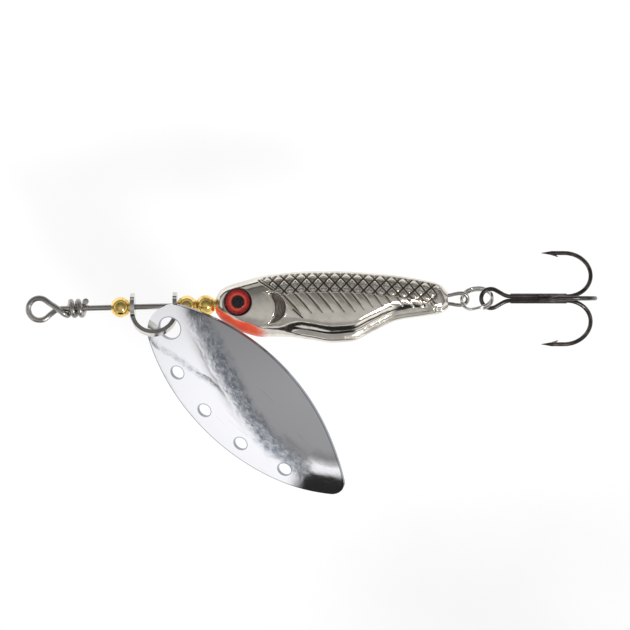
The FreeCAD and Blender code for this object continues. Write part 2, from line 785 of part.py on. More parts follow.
# The double hook: one wire, point to point, that makes the eye between its two shanks
def make_double_hook():
    neck, rad = size["hook_eye_neck"], size["hook_eye_rad"]
    first, second = hook_arm("first", neck), hook_arm("second", neck)
    side = first[0][0].y
    flip = math.copysign(1, side)
    level = first[0][0].z

    def eye(degrees):
        angle = math.radians(degrees)
        point = Vector(rad * math.cos(angle), flip * rad * math.sin(angle), level)
        return point, Vector(-math.sin(angle), flip * math.cos(angle), 0)

    back = [(point, way * -1) for point, way in reversed(first)]
    stations = back + [eye(angle) for angle in (60, 120, 180, 240, 300)] + second
    shape = tube(stations, size["hook_wire_dia"])
    for name in ("first", "second"):
        shape = shape.fuse(hook_point(name))
    item = feature("DoubleHook", shape.removeSplitter(), treble_placement())
    item.Label = "treble_double_hook"
    return item


# The third hook: its shank lies in the groove between the other two
def make_third_hook():
    shape = tube(hook_arm("third", size["third_start"]), size["hook_wire_dia"])
    shape = shape.fuse(hook_point("third"))
    item = feature("ThirdHook", shape.removeSplitter(), treble_placement())
    item.Label = "treble_third_hook"
    return item


# The braze: a thin film round the shanks that fills the grooves between them
def make_braze(hooks):
    film, radius = size["braze_film"], size["hook_wire_dia"] / 2
    length = size["hook_shank"] - size["hook_eye_neck"]
    sleeves = []
    for name in HOOK_WAYS:
        start = size["third_start"] - size["braze_lead"] if name == "third" else size["hook_eye_neck"]
        base = X * start + hook_way(name) * shank_offset()
        sleeves.append(Part.makeCylinder(radius + film, size["hook_shank"] - start, base, X))
    sleeves.append(Part.makeCylinder(radius, length, X * size["hook_eye_neck"], X))
    shape = sleeves[0].multiFuse(sleeves[1:])
    blank = feature("BrazeBlank", shape, treble_placement())
    wires = doc.addObject("Part::MultiFuse", "BrazeWires")
    wires.Shapes = hooks
    braze = doc.addObject("Part::Cut", "Braze")
    braze.Base, braze.Tool = blank, wires
    braze.Label = "treble_braze"
    return braze


def check(pieces):
    """Stops on a failed object or a shape that isn't sound solids."""
    for item in doc.Objects:
        if "Invalid" in item.State or "Error" in item.State:
            raise RuntimeError(f"{item.Name} failed: {item.State}")
    for item in pieces:
        shape = item.Shape
        if shape.isNull() or not shape.isValid() or not shape.Solids:
            raise RuntimeError(f"{item.Label} has no sound shape")


def main():
    shaft = make_shaft_wire()
    loop = make_tail_loop()
    clevis = make_clevis()
    doc.recompute()
    hooks = [make_double_hook(), make_third_hook()]
    pieces = [
        shaft,
        make_bead("front_bead", FRONT_BEAD),
        clevis,
        make_blade(clevis),
        make_bead("rear_bead_1", REAR_BEAD_1),
        make_bead("rear_bead_2", REAR_BEAD_2),
        make_casting(shaft, loop),
        *make_eye(1, "Upper"),
        *make_eye(-1, "Lower"),
        loop,
        make_split_ring(),
        *hooks,
        make_braze(hooks),
    ]
    doc.recompute()
    check(pieces)
    os.makedirs("parts", exist_ok=True)
    for item in pieces:
        item.Shape.exportStep(f"parts/{item.Label}.step")
        box = item.Shape.BoundBox
        print("%-20s %2d solid %8.2f mm3  x %.2f..%.2f y %.2f..%.2f z %.2f..%.2f" % (
            item.Label, len(item.Shape.Solids), item.Shape.Volume,
            box.XMin, box.XMax, box.YMin, box.YMax, box.ZMin, box.ZMax))


main()
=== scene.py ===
import math

import bmesh
import bpy
import numpy as np
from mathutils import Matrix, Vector


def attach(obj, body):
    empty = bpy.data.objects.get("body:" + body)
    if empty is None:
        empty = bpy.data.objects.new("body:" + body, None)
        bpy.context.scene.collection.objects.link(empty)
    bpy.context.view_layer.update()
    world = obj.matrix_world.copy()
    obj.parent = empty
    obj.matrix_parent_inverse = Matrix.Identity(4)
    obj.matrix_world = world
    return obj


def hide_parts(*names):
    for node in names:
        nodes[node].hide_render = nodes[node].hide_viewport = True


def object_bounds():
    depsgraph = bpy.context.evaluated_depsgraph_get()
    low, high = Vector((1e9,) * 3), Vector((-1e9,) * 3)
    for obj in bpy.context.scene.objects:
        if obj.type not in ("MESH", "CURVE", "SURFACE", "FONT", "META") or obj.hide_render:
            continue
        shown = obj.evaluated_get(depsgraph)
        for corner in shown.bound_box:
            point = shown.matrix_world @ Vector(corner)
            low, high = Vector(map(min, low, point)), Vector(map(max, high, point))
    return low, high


# Dresses the inline spinner: its finishes, the casting's scales and ribs, the floor and the light.
# Lengths are millimetres in the code that makes the casting, and metres where they reach Blender.

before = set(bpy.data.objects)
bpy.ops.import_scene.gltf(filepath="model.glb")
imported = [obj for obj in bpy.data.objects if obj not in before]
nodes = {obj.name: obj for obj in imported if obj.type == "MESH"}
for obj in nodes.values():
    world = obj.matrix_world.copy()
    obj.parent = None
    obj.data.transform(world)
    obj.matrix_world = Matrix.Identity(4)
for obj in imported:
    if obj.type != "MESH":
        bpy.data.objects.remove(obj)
cad_low, cad_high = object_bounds()
MM = 0.001

# ---------------------------------------------------------------- sizes, in millimetres and degrees

NOSE = 27.4
LENGTH, BACK, BELLY, HALF_THICK = 35.9, 4.9, 6.35, 3.25
FULLNESS = 2.3
EYE_ALONG, EYE_UP = 3.45, 0.4
EYE = (NOSE + EYE_ALONG, EYE_UP)
EYE_FLOOR = 2.3
GILL_OUTER = (8.35, -0.6, 2.46)
GILL_INNER = (6.3, -0.6, 2.91)
GILL_FLOOR = 2.78
PITCH, ROW = 1.752, 0.93
RIB_TOP = 3.3

# The blade: the place of its large hole, its turns, and its outline and holes seen in its own plane
BLADE_HOLE = (20.3, -3.34, 1.56)
BLADE_TURN = (26, -0.5, -48.2)
BLADE_WIDEST, BLADE_SIDE, BLADE_SINK = 15.56, 32.17, 23.4
BLADE_BOW_END, BLADE_BOW = 24.0, 5.8
BLADE_HOLES = [
    (0, 0, 1.75), (5.75, -4.61, 1.05), (12.88, -6.02, 1.05), (20.5, -5.74, 1.05), (28.1, -3.57, 1.05),
]

# The floor is low enough for the hooks and the blade to swing above it
FLOOR_DROP, FLOOR_REACH = 34.0, 1200.0
CAMERA_PLACE, CAMERA_ROLL, CAMERA_LENS, CAMERA_SENSOR = (42.7, -1.91, 407.0), 1.36, 150, 36

# ---------------------------------------------------------------- node helpers

RANGE_SOCKETS = ("From Min", "From Max", "To Min", "To Max")


class Tree:
    """Adds nodes to one material with few words."""

    def __init__(self, name):
        self.material = bpy.data.materials.new(name)
        self.material.use_nodes = True
        self.tree = self.material.node_tree
        self.tree.nodes.clear()
        self.out = self.add("ShaderNodeOutputMaterial")
        self.place = self.add("ShaderNodeTexCoord").outputs["Object"]

    def add(self, kind, **settings):
        node = self.tree.nodes.new(kind)
        for name, value in settings.items():
            setattr(node, name, value)
        return node

    def put(self, socket, value):
        if isinstance(value, bpy.types.NodeSocket):
            self.tree.links.new(value, socket)
        else:
            socket.default_value = value

    def math(self, kind, a, b=0.0, clamp=False):
        node = self.add("ShaderNodeMath", operation=kind, use_clamp=clamp)
        self.put(node.inputs[0], a)
        self.put(node.inputs[1], b)
        return node.outputs[0]

    def noise(self, scale, detail=3.0, rough=0.5, stretch=None, place=None):
        place = place or self.place
        if stretch:
            scaled = self.add("ShaderNodeMapping")
            scaled.inputs["Scale"].default_value = stretch
            self.put(scaled.inputs["Vector"], place)
            place = scaled.outputs[0]
        node = self.add("ShaderNodeTexNoise")
        self.put(node.inputs["Vector"], place)
        node.inputs["Scale"].default_value = scale
        node.inputs["Detail"].default_value = detail
        node.inputs["Roughness"].default_value = rough
        return node.outputs[0]

    def ramp(self, value, low, high, start=0.0, end=1.0):
        node = self.add("ShaderNodeMapRange")
        node.interpolation_type = "SMOOTHSTEP"
        self.put(node.inputs["Value"], value)
        for name, number in zip(RANGE_SOCKETS, (low, high, start, end)):
            node.inputs[name].default_value = number
        return node.outputs[0]

    def mix(self, share, a, b):
        node = self.add("ShaderNodeMix", data_type="RGBA")
        self.put(node.inputs[0], share)
        self.put(node.inputs[6], a)
        self.put(node.inputs[7], b)
        return node.outputs[2]

    def attribute(self, name):
        return self.add("ShaderNodeAttribute", attribute_name=name).outputs["Fac"]

    def axis(self, index):
        split = self.add("ShaderNodeSeparateXYZ")
        self.put(split.inputs[0], self.place)
        return split.outputs[index]

    def bump(self, height, distance, strength=1.0, under=None):
        node = self.add("ShaderNodeBump")
        node.inputs["Strength"].default_value = strength
        node.inputs["Distance"].default_value = distance
        self.put(node.inputs["Height"], height)
        if under:
            self.put(node.inputs["Normal"], under)
        return node.outputs[0]

    def surface(self, **values):
        shader = self.add("ShaderNodeBsdfPrincipled")
        for name, value in values.items():
            self.put(shader.inputs[name.replace("_", " ")], value)
        self.put(self.out.inputs[0], shader.outputs[0])
        return self.material


def colour(r, g, b):
    return (r, g, b, 1.0)


# ---------------------------------------------------------------- finishes


def wire_finish():
    """Drawn wire: fine lines along the shaft and small stains."""
    t = Tree("stainless_wire")
    light, dark = colour(0.56, 0.535, 0.51), colour(0.2, 0.185, 0.17)
    lines = t.noise(900, 4.0, 0.6, stretch=(0.12, 1.0, 1.0))
    stains = t.noise(260, 4.0, 0.6)
    share = t.math("MULTIPLY", t.ramp(lines, 0.4, 0.62), 0.6)
    tone = t.mix(share, light, dark)
    tone = t.mix(t.ramp(stains, 0.55, 0.72, 0.0, 0.5), tone, dark)
    return t.surface(
        Base_Color=tone, Metallic=1.0, Roughness=t.ramp(stains, 0.3, 0.7, 0.16, 0.32),
        Normal=t.bump(lines, 0.00003, 0.5),
    )


def plated_strip():
    """Bright nickel on thin stock: nearly smooth, a little cloudy, with rolled-in waviness."""
    t = Tree("nickel_strip")
    cloud = t.noise(320, 4.0, 0.55)
    tone = t.mix(t.ramp(cloud, 0.35, 0.7), colour(0.72, 0.7, 0.66), colour(0.5, 0.48, 0.45))
    return t.surface(
        Base_Color=tone, Metallic=1.0, Roughness=t.ramp(cloud, 0.3, 0.7, 0.1, 0.26),
        Normal=t.bump(cloud, 0.00004, 0.5),
    )


def brass_finish():
    """Polished brass with turning lines and a few matt specks."""
    t = Tree("brass_bead")
    turning = t.noise(1500, 3.0, 0.5, stretch=(1.0, 0.08, 0.08))
    specks = t.noise(700, 4.0, 0.65)
    tone = t.mix(t.ramp(specks, 0.5, 0.74), colour(0.98, 0.72, 0.24), colour(0.55, 0.33, 0.07))
    return t.surface(
        Base_Color=tone, Metallic=1.0, Roughness=t.ramp(specks, 0.35, 0.75, 0.11, 0.34),
        Normal=t.bump(turning, 0.00003, 0.35),
    )


def black_nickel():
    """Dark plating on the hooks, warm where it thins."""
    t = Tree("black_nickel")
    lines = t.noise(800, 4.0, 0.6, stretch=(0.15, 1.0, 1.0))
    wear_and_edge_shade = t.noise(230, 4.0, 0.6)
    tone = t.mix(t.ramp(lines, 0.42, 0.66), colour(0.062, 0.055, 0.054), colour(0.16, 0.14, 0.135))
    tone = t.mix(t.ramp(wear_and_edge_shade, 0.56, 0.74, 0.0, 0.7), tone, colour(0.36, 0.3, 0.28))
    return t.surface(
        Base_Color=tone, Metallic=1.0, Roughness=t.ramp(wear_and_edge_shade, 0.3, 0.7, 0.16, 0.34),
        Normal=t.bump(lines, 0.00003, 0.4),
    )


def blade_finish():
    """Bright plate over stamped stock: a speckled band of painted dark reflection, fine hairlines, and
    painted shade along the rim and round the holes.
    """
    t = Tree("mirror_blade")
    split = t.add("ShaderNodeSeparateXYZ")
    turned = t.add("ShaderNodeVectorRotate", rotation_type="EULER_XYZ", invert=True)
    t.put(turned.inputs["Vector"], t.place)
    turned.inputs["Center"].default_value = Vector(BLADE_HOLE) * MM
    turned.inputs["Rotation"].default_value = [math.radians(angle) for angle in BLADE_TURN]
    t.put(split.inputs[0], turned.outputs[0])
    along = t.math("MULTIPLY", t.math("SUBTRACT", split.outputs[0], BLADE_HOLE[0] * MM), 1000)
    across = t.math("MULTIPLY", t.math("SUBTRACT", split.outputs[1], BLADE_HOLE[1] * MM), 1000)

    def from_point(x, y, mirror=False):
        """Distance in the blade's plane from a point, or from the nearer of a mirrored pair."""
        wide = t.math("ABSOLUTE", across) if mirror else across
        dx, dy = t.math("SUBTRACT", along, x), t.math("SUBTRACT", wide, y)
        return t.math("SQRT", t.math("ADD", t.math("MULTIPLY", dx, dx), t.math("MULTIPLY", dy, dy)))

    # Painted shade: a dark line along the rim and round each hole
    edge = t.math("SUBTRACT", BLADE_SIDE, from_point(BLADE_WIDEST, -BLADE_SINK, True))
    wear_and_edge_shade = t.ramp(edge, 0.2, 0.06)
    for x, y, rad in BLADE_HOLES:
        wear_and_edge_shade = t.math("MAXIMUM", wear_and_edge_shade, t.ramp(from_point(x, y), rad + 0.22, rad + 0.05))
    wander = t.noise(170, 3.0, 0.6, place=turned.outputs[0])
    drift = t.math("MULTIPLY", t.math("SUBTRACT", wander, 0.5), 2.4)

    def band(first, last, start, end, outer, inner):
        """1 along a wandering line on the blade, which goes from one side to the other."""
        line = t.math("ADD", t.ramp(along, first, last, start, end), drift)
        return t.ramp(t.math("ABSOLUTE", t.math("SUBTRACT", across, line)), outer, inner)

    # The broad band down the middle, and a short thin one below the large hole, which carry a rougher
    # orange peel and a painted dark reflection
    wide = t.math("MULTIPLY", band(1.0, 24.0, 4.4, -1.6, 2.5, 0.7), t.ramp(along, 33.0, 28.5))
    wide = t.math("MULTIPLY", wide, t.ramp(along, 0.5, 4.0))
    thin = t.math("MULTIPLY", band(-1.0, 12.6, -3.5, -1.6, 0.9, 0.0), t.ramp(along, 14.0, 8.0))
    peel_band_and_painted_reflection = t.math("MAXIMUM", wide, t.math("MULTIPLY", thin, 0.55))
    peel = t.noise(1000, 5.0, 0.62, place=turned.outputs[0])
    fine = t.noise(2800, 3.0, 0.6, place=turned.outputs[0])
    hair = t.noise(1800, 2.0, 0.5, stretch=(0.05, 1.0, 1.0), place=turned.outputs[0])
    broad = t.noise(120, 2.0, 0.5, place=turned.outputs[0])
    height = t.math("MULTIPLY", peel, t.math("ADD", peel_band_and_painted_reflection, 0.05))
    height = t.math("ADD", height, t.math("MULTIPLY", hair, 0.03))
    height = t.math("ADD", height, t.math("MULTIPLY", fine, t.math("MULTIPLY", peel_band_and_painted_reflection, 0.25)))
    height = t.math("ADD", height, t.math("MULTIPLY", broad, 0.6))
    # Painted reflection: along the bands the colour is darkened and speckled by the peel, standing for
    # dark surroundings mirrored in the blade
    painted_reflection_tone = t.mix(t.ramp(peel, 0.4, 0.64), colour(0.62, 0.66, 0.72), colour(0.24, 0.27, 0.33))
    tone = t.mix(t.math("MULTIPLY", peel_band_and_painted_reflection, 0.8), colour(0.83, 0.83, 0.86), painted_reflection_tone)
    tone = t.mix(t.ramp(hair, 0.64, 0.78, 0.0, 0.3), tone, colour(0.5, 0.51, 0.55))
    # Painted shade along the rim and round the holes
    tone = t.mix(t.math("MULTIPLY", wear_and_edge_shade, 0.85), tone, colour(0.2, 0.22, 0.27))
    rough = t.math("ADD", t.math("MULTIPLY", peel_band_and_painted_reflection, 0.14), t.ramp(fine, 0.3, 0.8, 0.04, 0.1))
    # A gentle fall towards the head end, which bends the reflections there and not the shape
    share = t.math("MAXIMUM", t.math("SUBTRACT", 1.0, t.math("DIVIDE", along, BLADE_BOW_END)), 0.0)
    fall = t.math("MULTIPLY", t.math("POWER", share, 1.6), -BLADE_BOW * MM)
    normal = t.bump(height, 0.00009, 0.6, under=t.bump(fall, 1.0))
    return t.surface(Base_Color=tone, Metallic=1.0, Roughness=rough, Normal=normal)


def casting_finish():
    """Bright nickel over the casting, with shade painted dark into its grooves, and the red throat
    sprayed on.
    """
    t = Tree("plated_casting")
    groove, throat = t.attribute("groove"), t.attribute("throat")
    cloud = t.noise(420, 5.0, 0.6)
    pits = t.noise(1500, 4.0, 0.65)
    nickel = t.mix(t.ramp(cloud, 0.35, 0.7), colour(0.82, 0.78, 0.7), colour(0.68, 0.64, 0.57))
    uneven = t.math("MULTIPLY", t.math("SUBTRACT", pits, 0.5), 0.35)
    # Painted shade: the grooves are darkened to a brown near-black, made uneven by the pits
    groove_shade = t.ramp(t.math("ADD", groove, uneven, clamp=True), 0.28, 0.9)
    metal = t.mix(groove_shade, nickel, colour(0.1, 0.078, 0.058))
    edge = t.math("ADD", throat, t.math("MULTIPLY", t.math("SUBTRACT", cloud, 0.5), 0.5))
    paint = t.ramp(edge, 0.15, 0.8)
    red = t.mix(t.ramp(cloud, 0.35, 0.7), colour(1.0, 0.13, 0.03), colour(0.93, 0.07, 0.018))
    height = t.math("ADD", t.math("MULTIPLY", cloud, 0.8), t.math("MULTIPLY", pits, 0.25))
    rough = t.math("ADD", t.ramp(pits, 0.3, 0.75, 0.09, 0.17), t.math("MULTIPLY", groove_shade, 0.32))
    return t.surface(
        Base_Color=t.mix(paint, metal, red), Metallic=t.ramp(paint, 0.0, 1.0, 1.0, 0.1),
        Roughness=t.math("ADD", rough, t.math("MULTIPLY", paint, 0.12)),
        Normal=t.bump(height, 0.00005, 0.5),
    )


def foil_finish():
    """Printed foil: a black pupil, a bright ring round it and a darker rim, with fine rays."""
    t = Tree("red_foil")
    split = t.add("ShaderNodeSeparateXYZ")
    t.put(split.inputs[0], t.place)
    x = t.math("SUBTRACT", t.math("MULTIPLY", split.outputs[0], 1000), EYE[0])
    y = t.math("SUBTRACT", t.math("MULTIPLY", split.outputs[1], 1000), EYE[1])
    rad = t.math("SQRT", t.math("ADD", t.math("MULTIPLY", x, x), t.math("MULTIPLY", y, y)))
    ray = t.noise(900, 4.0, 0.7)
    rad_r = t.math("ADD", rad, t.math("MULTIPLY", t.math("SUBTRACT", ray, 0.5), 0.25))
    ring = t.math("MULTIPLY", t.ramp(rad_r, 0.9, 1.1), t.ramp(rad_r, 1.5, 1.15))
    red = t.mix(ring, colour(0.6, 0.01, 0.014), colour(1.0, 0.15, 0.08))
    red = t.mix(t.ramp(ray, 0.5, 0.7, 0.0, 0.55), red, colour(0.3, 0.005, 0.01))
    rim = t.ramp(rad, 1.62, 1.9)
    red = t.mix(rim, red, colour(0.12, 0.004, 0.006))
    pupil = t.ramp(rad_r, 1.02, 0.9)
    return t.surface(
        Base_Color=t.mix(pupil, red, colour(0.006, 0.005, 0.005)), Metallic=0.0,
        Roughness=t.ramp(ray, 0.3, 0.7, 0.22, 0.4), Normal=t.bump(ray, 0.00004, 0.4),
    )


def lens_finish():
    """Clear cast dome, with a few specks in it."""
    t = Tree("clear_lens")
    specks = t.noise(1300, 3.0, 0.6)
    tone = t.mix(t.ramp(specks, 0.7, 0.8), colour(1.0, 0.98, 0.98), colour(0.8, 0.7, 0.7))
    return t.surface(
        Base_Color=tone, Roughness=t.ramp(specks, 0.3, 0.8, 0.0, 0.03), IOR=1.45,
        Transmission_Weight=1.0, Alpha=0.42,
    )


# ---------------------------------------------------------------- the casting

SECTIONS = [
    (0.0, 0.24, 0.20, 0.34), (0.02, 0.46, 0.36, 0.60), (0.05, 0.59, 0.48, 0.76),
    (0.12, 0.74, 0.70, 0.92), (0.20, 0.88, 0.81, 0.99), (0.30, 0.96, 0.82, 1.0),
    (0.40, 1.0, 0.90, 1.0), (0.50, 0.99, 0.995, 0.98), (0.58, 0.96, 0.97, 0.92),
    (0.68, 0.89, 0.73, 0.84), (0.78, 0.80, 0.485, 0.74), (0.90, 0.635, 0.39, 0.62),
    (0.97, 0.48, 0.33, 0.52), (1.0, 0.24, 0.22, 0.36),
]


def smooth_through(xs, ys, at):
    """A smooth curve through points that doesn't overshoot between them."""
    xs, ys, at = np.array(xs), np.array(ys), np.asarray(at)
    step = np.diff(xs)
    slope = np.diff(ys) / step
    m = np.zeros_like(ys)
    m[0], m[-1] = slope[0], slope[-1]
    for i in range(1, len(xs) - 1):
        a, b = slope[i - 1], slope[i]
        if a * b > 0:
            w1, w2 = 2 * step[i] + step[i - 1], step[i] + 2 * step[i - 1]
            m[i] = (w1 + w2) / (w1 / a + w2 / b)
    i = np.clip(np.searchsorted(xs, at) - 1, 0, len(xs) - 2)
    t = (at - xs[i]) / step[i]
    h = step[i]
    return (
        (2 * t**3 - 3 * t**2 + 1) * ys[i] + (t**3 - 2 * t**2 + t) * h * m[i]
        + (-2 * t**3 + 3 * t**2) * ys[i + 1] + (t**3 - t**2) * h * m[i + 1]
    )


def smoothstep(low, high, value):
    t = np.clip((value - low) / (high - low), 0, 1)
    return t * t * (3 - 2 * t)


def groove_lines(phase, width):
    """1 in the middle of a groove at each whole number of the phase, 0 past its width."""
    off = np.abs(phase - np.round(phase))
    return 1 - smoothstep(width * 0.35, width, off)


def segment_distance(u, v, a, b):
    """Distance in the plane from points to a segment, and the share of the way along it."""
    du, dv = b[0] - a[0], b[1] - a[1]
    t = np.clip(((u - a[0]) * du + (v - a[1]) * dv) / (du * du + dv * dv), 0, 1)
    return np.hypot(u - a[0] - t * du, v - a[1] - t * dv), t


def casting_relief(u, v, back, belly):
    """How far the flank stands in or out, and how much shade is painted into its grooves, at places on
    it.
    """
    below = back - v
    above = v + belly
    height = np.zeros_like(u)
    dark = np.zeros_like(u)

    # Scales: three rows of studs in crossed grooves, which follow the back
    start = smoothstep(7.5, 7.8, u - (below - 0.9) * 0.85)
    end = 1 - smoothstep(34.2, 34.7, u + (below - 1.0) * 0.15)
    rows = smoothstep(0.22, 0.42, below) * (1 - smoothstep(3.2, 3.4, below)) * start * end
    a = (u - 8.0) / PITCH + (below - 0.9) / (2 * ROW) + 0.5
    b = (u - 8.0) / PITCH - (below - 0.9) / (2 * ROW) + 0.5
    net = np.maximum(groove_lines(a, 0.24), groove_lines(b, 0.24))
    core = np.maximum(groove_lines(a, 0.17), groove_lines(b, 0.17))
    across_a, across_b = a - np.floor(a) - 0.5, b - np.floor(b) - 0.5
    stud = 1 - smoothstep(0.08, 0.3, np.hypot(across_a, across_b))
    height += rows * (0.075 * stud - 0.1 * net - 0.03)
    # Painted shade in the crossed grooves, and a lighter painted shade in a ring round each stud
    ring = np.clip(1 - stud - net, 0, 1)
    dark = np.maximum(dark, rows * np.maximum(core * 0.9, ring * 0.55))

    # Ribs: slanting slats below the scales, shorter towards the tail
    lean = np.interp(u, [12, 26, 33], [0.82, 0.8, 0.62])
    shift = u - (below - RIB_TOP) * lean
    phase = (shift - 12.17) / PITCH
    low = RIB_TOP + np.interp(shift, [8, 12, 19, 23.5, 27.5, 34], [3.7, 3.25, 2.95, 1.85, 1.4, 1.35])
    first = smoothstep(9.4, 9.8, shift)
    last = 1 - smoothstep(33.9, 34.4, u)
    taper = np.clip((low - below) / 1.3, 0, 1)
    region = smoothstep(RIB_TOP - 0.12, RIB_TOP + 0.08, below) * smoothstep(0.0, 0.1, low - below)
    region = region * first * last
    off = phase - np.floor(phase)
    near_wall = np.minimum(off, 1 - off)
    near_wall = near_wall / np.maximum(taper, 0.35)
    wall = 1 - smoothstep(0.05, 0.22, near_wall)
    height += region * (0.2 * (1 - off) * (1 - wall) * taper - 0.18 * wall)
    # Painted shade in the groove between slats
    dark = np.maximum(dark, region * (1 - smoothstep(0.04, 0.12, near_wall)) * 0.9)

    # A short groove in front of the first rib, and the double line behind the head
    for a1, b1, width, deep in (
        ((11.9, -0.9), (13.4, -2.3), 0.16, 0.1),
        ((6.75, 3.6), (8.95, 2.05), 0.18, 0.14),
        ((7.15, 3.75), (9.25, 2.3), 0.12, 0.1),
    ):
        dist, t = segment_distance(u, v, a1, b1)
        line = 1 - smoothstep(width * 0.4, width, dist)
        height -= deep * line
        # Painted shade along each of these lines
        dark = np.maximum(dark, line * 0.9)

    # Belly: a bevel that steepens below the flank, and a rim along the lower edge to the tail
    bevel = smooth_through(
        [-9.0, 0.0, 0.25, 0.55, 0.9, 1.15, 1.45, 1.8, 2.25, 2.8, 3.2, 12.0],
        [0.0, 0.0, 0.02, 0.2, 0.42, 0.48, 0.45, 0.34, 0.19, 0.05, 0.0, 0.0], above,
    )
    height -= bevel * smoothstep(9.5, 13.5, u) * (1 - smoothstep(31.5, 34.5, u))
    rim = smoothstep(19.0, 21.5, u) * (1 - smoothstep(0.34, 0.5, above))
    height += 0.1 * rim
    seam = smoothstep(19.0, 21.5, u) * np.exp(-(((above - 0.52) / 0.08) ** 2))
    height -= 0.05 * seam
    # Painted shade along the seam
    dark = np.maximum(dark, 0.5 * seam)
    hatch = smoothstep(17.0, 18.0, u) * (1 - smoothstep(22.0, 23.5, u))
    hatch = hatch * (1 - smoothstep(0.7, 1.0, above))
    height -= 0.025 * hatch * groove_lines((u + v * 0.8) / 0.42, 0.4)
    return height, dark


def make_casting():
    """The casting as one closed skin, fine enough to carry its scales and ribs."""
    count_u, count_a = 460, 340
    end = 1.2
    along = np.concatenate([
        np.linspace(0, end, 24)[:-1], np.linspace(end, LENGTH - end, count_u - 47),
        np.linspace(LENGTH - end, LENGTH, 25)[1:],
    ])
    part = along / LENGTH
    xs = [s[0] for s in SECTIONS]
    back, belly, thick = (
        smooth_through(xs, [s[i] for s in SECTIONS], part) * full
        for i, full in ((1, BACK), (2, BELLY), (3, HALF_THICK))
    )
    # Angles at equal steps round a middle section
    fine = np.linspace(0, 2 * math.pi, 4001)
    power = 2 / FULLNESS
    tall = np.copysign(np.abs(np.cos(fine)) ** power, np.cos(fine))
    wide = np.copysign(np.abs(np.sin(fine)) ** power, np.sin(fine))
    run = np.concatenate([[0], np.cumsum(np.hypot(np.diff(tall) * 5.2, np.diff(wide) * 3.3))])
    angle = np.interp(np.linspace(0, run[-1], count_a + 1)[:-1], run, fine)
    tall = np.copysign(np.abs(np.cos(angle)) ** power, np.cos(angle))
    wide = np.copysign(np.abs(np.sin(angle)) ** power, np.sin(angle))
    mid, half = (back - belly) / 2, (back + belly) / 2
    u = np.repeat(along[:, None], count_a, 1)
    v = mid[:, None] + half[:, None] * tall[None, :]
    z = thick[:, None] * wide[None, :]

    # Normals of the plain skin
    grid = np.stack([u, v, z], -1)
    d_u = np.gradient(grid, axis=0)
    d_a = (np.roll(grid, -1, 1) - np.roll(grid, 1, 1)) / 2
    normal = np.cross(d_a, d_u)
    normal /= np.maximum(np.linalg.norm(normal, axis=-1, keepdims=True), 1e-12)
    out = np.stack([0 * u, v - mid[:, None], z], -1)
    flip = np.sign((normal * out).sum(-1, keepdims=True))
    normal = normal * np.where(flip == 0, 1, flip)

    height, dark = casting_relief(u, v, back[:, None], belly[:, None])
    facing = smoothstep(0.12, 0.4, np.abs(normal[..., 2]))
    rim_keep = np.where(v < mid[:, None], 1.0, facing)
    grid = grid + normal * (height * np.where(height > 0, facing, rim_keep))[..., None]
    # The painted shade fades where the skin turns edge-on
    dark = dark * np.maximum(facing, 0.2)

    # The gills: a crescent sunk to one level, with a bright lip
    gu, gv = grid[..., 0], grid[..., 1]
    outer = GILL_OUTER[2] - np.hypot(gu - GILL_OUTER[0], gv - GILL_OUTER[1])
    inner = np.hypot(gu - GILL_INNER[0], gv - GILL_INNER[1]) - GILL_INNER[2]
    inside = np.minimum(outer, inner)
    sunk = smoothstep(-0.06, 0.16, inside)
    side = np.sign(grid[..., 2])
    level = np.abs(grid[..., 2])
    target = np.minimum(level, GILL_FLOOR)
    lip = 0.05 * np.exp(-(((inside + 0.16) / 0.12) ** 2)) * (np.abs(gu - 8) < 4)
    level = level + (target - level) * sunk + lip * (level > 1.5)
    brushed = groove_lines(np.hypot(gu - 5.9, gv + 0.6) / 0.2, 0.5)
    level = level - 0.015 * brushed * sunk
    # Painted shade in the sunk gill crescent
    dark = np.maximum(dark, sunk * (0.6 + 0.25 * brushed))

    # The eye sockets
    rad = np.hypot(gu - EYE_ALONG, gv - EYE_UP)
    pit = 1 - smoothstep(2.04, 2.2, rad)
    level = level + (np.minimum(level, EYE_FLOOR) - level) * pit
    # Painted shade in the gap round the eye
    dark = np.maximum(dark, (1 - smoothstep(2.12, 2.3, rad)) * 0.95 * (level > 1.0))
    grid[..., 2] = side * level

    # The throat, from the nose along the belly, and its upper edge
    edge = np.interp(
        gu, [0, 0.6, 2.9, 5.2, 7.1, 9.0, 10.2], [-0.1, -0.65, -2.2, -2.9, -3.55, -4.4, -5.4],
    )
    throat = smoothstep(-0.45, 0.6, edge - gv) * (1 - smoothstep(4.8, 9.6, gu))

    verts = grid.reshape(-1, 3)
    verts[:, 0] += NOSE
    rows = len(along)
    ids = np.arange(rows * count_a).reshape(rows, count_a)
    turned = np.roll(ids, -1, 1)
    quads = np.stack([ids[:-1], turned[:-1], turned[1:], ids[1:]], -1).reshape(-1, 4)
    caps = [np.array([NOSE, 0, 0]), np.array([NOSE + LENGTH, mid[-1], 0])]
    all_verts = np.vstack([verts, caps]) * MM
    first, last = ids[0], ids[-1]
    nose, tail = rows * count_a, rows * count_a + 1
    faces = quads.tolist()
    faces += [[int(first[(i + 1) % count_a]), int(first[i]), nose] for i in range(count_a)]
    faces += [[int(last[i]), int(last[(i + 1) % count_a]), tail] for i in range(count_a)]
    mesh = bpy.data.meshes.new("casting_skin")
    mesh.from_pydata(all_verts.tolist(), [], faces)
    mesh.validate()
